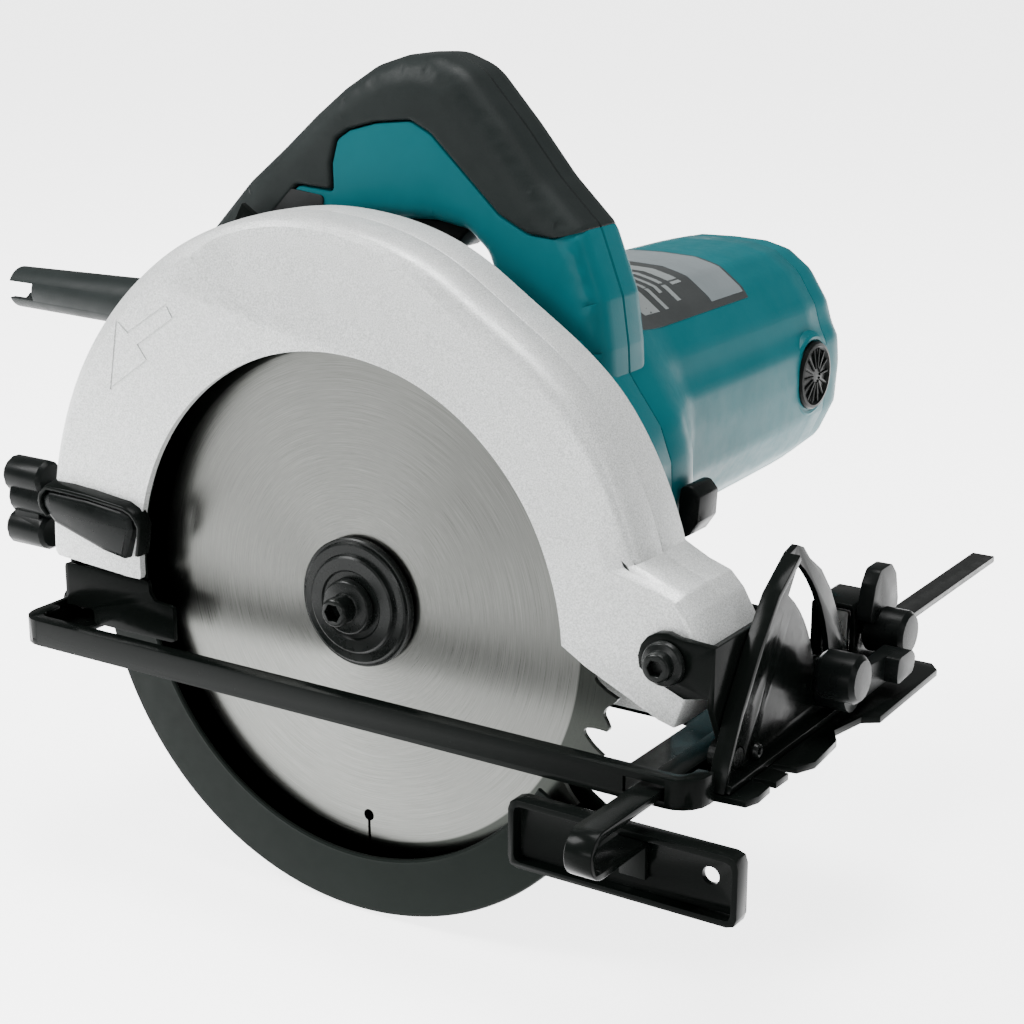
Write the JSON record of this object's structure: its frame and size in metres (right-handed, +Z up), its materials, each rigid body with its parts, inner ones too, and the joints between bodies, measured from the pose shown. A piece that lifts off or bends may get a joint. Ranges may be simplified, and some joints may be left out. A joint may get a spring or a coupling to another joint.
{
  "type": "circular saw",
  "caption": "Hand-held circular saw with D-handle, sprung lower guard, tilting and depth-adjusting base, and a sliding rip fence.",
  "frame": {"origin": "on the underside of the base's sole plate, below the blade arbor in X and at the middle of the motor-side sole in Y", "axes": "+X the cutting direction (front), +Y from the blade towards the motor, +Z up"},
  "size_m": [0.3356, 0.2833, 0.264],
  "materials": {
    "teal_shell": "satin moulded",
    "soft_grip": "fine grain overmould",
    "cast_case": "die cast, painted silver",
    "blade_steel": "circular ground",
    "guard_paint": "satin black",
    "black_paint": "semi-gloss black",
    "black_oxide": "black oxide",
    "bright_steel": "machined",
    "black_nylon": "moulded",
    "copper": "turned",
    "carbon": "pressed carbon",
    "label": "printed film"
  },
  "bodies": {
    "base": {"base_plate": "black_paint", "bevel_quadrant": "black_paint", "quadrant_rivet": "black_oxide", "bevel_pivot_pin_front": "black_oxide", "bevel_pivot_pin_rear": "black_oxide", "fence_clamp_arch": "black_paint", "fence_clamp_shoe": "bright_steel"},
    "fence": {"fence_bar": "black_paint", "fence_plate": "black_paint"},
    "fence_screw": {"fence_screw": "black_nylon"},
    "bevel_frame": {"front_bracket": "black_paint", "depth_pivot_bolt": "black_oxide", "depth_pivot_nut": "black_oxide", "bevel_clamp_bolt": "black_oxide", "depth_guide": "black_paint"},
    "bevel_clamp_lever": {"bevel_clamp_lever": "black_nylon"},
    "saw_body": {"blade_case": "cast_case", "guard_bumper": "soft_grip", "clamp_band": "black_paint", "clamp_pad": "soft_grip", "depth_clamp_bolt": "black_oxide", "guard_return_spring": "bright_steel", "spindle_bearing_front": "bright_steel", "spindle_bearing_rear": "bright_steel", "bearing_retainer": "cast_case", "armature_bearing_front": "bright_steel", "armature_bearing_rear": "bright_steel", "field_stator": "bright_steel", "gear_housing": "teal_shell", "motor_housing": "teal_shell", "end_cover": "teal_shell", "brush_cap_front": "black_nylon", "brush_cap_rear": "black_nylon", "carbon_brush_front": "carbon", "carbon_brush_rear": "carbon", "rating_plate": "label", "handle_right": "teal_shell", "handle_left": "teal_shell", "grip_right": "soft_grip", "grip_left": "soft_grip", "switch_block": "black_nylon", "cord_guard": "soft_grip", "handle_screw_top": "bright_steel", "handle_screw_rear": "bright_steel"},
    "depth_clamp_knob": {"depth_clamp_knob": "black_nylon"},
    "lower_guard": {"lower_guard": "guard_paint"},
    "blade_arbor": {"saw_blade": "blade_steel", "outer_flange": "black_oxide", "inner_flange": "black_oxide", "blade_bolt": "black_oxide", "spindle": "bright_steel", "spindle_gear": "bright_steel"},
    "idler": {"idler_gear": "bright_steel"},
    "armature": {"armature_shaft": "bright_steel", "armature_core": "bright_steel", "commutator": "copper", "cooling_fan": "black_nylon"},
    "trigger": {"trigger": "black_nylon"},
    "lock_button": {"lock_button": "black_nylon"},
    "shaft_lock": {"shaft_lock": "black_nylon"}
  },
  "joints": [
    {"name": "fence_slide", "type": "slide", "parent": "base", "child": "fence", "axis": [0, 1, 0], "range_m": [-0.1, 0.015]},
    {"name": "fence_screw_turn", "type": "hinge", "parent": "base", "child": "fence_screw", "pos_m": [0.13, 0.056, 0.0145], "axis": [1, 0, 0], "range_deg": [-25, 45]},
    {"name": "bevel_tilt", "type": "hinge", "parent": "base", "child": "bevel_frame", "pos_m": [0, -0.044, 0.007], "axis": [1, 0, 0], "range_deg": [0, 45]},
    {"name": "bevel_lever_turn", "type": "hinge", "parent": "bevel_frame", "child": "bevel_clamp_lever", "pos_m": [0.135, 0.0093, 0.0117], "axis": [1, 0, 0], "range_deg": [0, 25]},
    {"name": "depth_tilt", "type": "hinge", "parent": "bevel_frame", "child": "saw_body", "pos_m": [0.115, -0.04, 0.035], "axis": [0, 1, 0], "range_deg": [0, 28]},
    {"name": "depth_knob_turn", "type": "hinge", "parent": "saw_body", "child": "depth_clamp_knob", "pos_m": [-0.13, -0.038, 0.038], "axis": [1, 0, 0], "range_deg": [0, 180]},
    {"name": "lower_guard_swing", "type": "hinge", "parent": "saw_body", "child": "lower_guard", "pos_m": [0, -0.04, 0.027], "axis": [0, 1, 0], "range_deg": [0, 145], "stiffness_Nm_per_rad": 0.25, "springref_deg": -68.75},
    {"name": "blade_spin", "type": "hinge", "parent": "saw_body", "child": "blade_arbor", "pos_m": [0, -0.04, 0.027], "axis": [0, 1, 0], "continuous": true},
    {"name": "idler_spin", "type": "hinge", "parent": "saw_body", "child": "idler", "pos_m": [0.01401, -0.01, 0.05743], "axis": [0, 1, 0], "continuous": true},
    {"name": "armature_spin", "type": "hinge", "parent": "saw_body", "child": "armature", "pos_m": [0.024, -0.01, 0.073], "axis": [0, 1, 0], "continuous": true},
    {"name": "trigger_pull", "type": "slide", "parent": "saw_body", "child": "trigger", "axis": [0, 0, 1], "range_m": [0, 0.006], "stiffness_N_per_m": 600, "springref_m": -0.004},
    {"name": "lock_button_press", "type": "slide", "parent": "saw_body", "child": "lock_button", "axis": [0, -1, 0], "range_m": [0, 0.0025], "stiffness_N_per_m": 300, "springref_m": -0.002},
    {"name": "shaft_lock_press", "type": "slide", "parent": "saw_body", "child": "shaft_lock", "axis": [0, -1, 0], "range_m": [0, 0.003], "stiffness_N_per_m": 400, "springref_m": -0.002}
  ],
  "couplings": [
    {"joint": "idler_spin", "follows": "blade_spin", "ratio": -1.4815},
    {"joint": "armature_spin", "follows": "blade_spin", "ratio": 4}
  ]
}
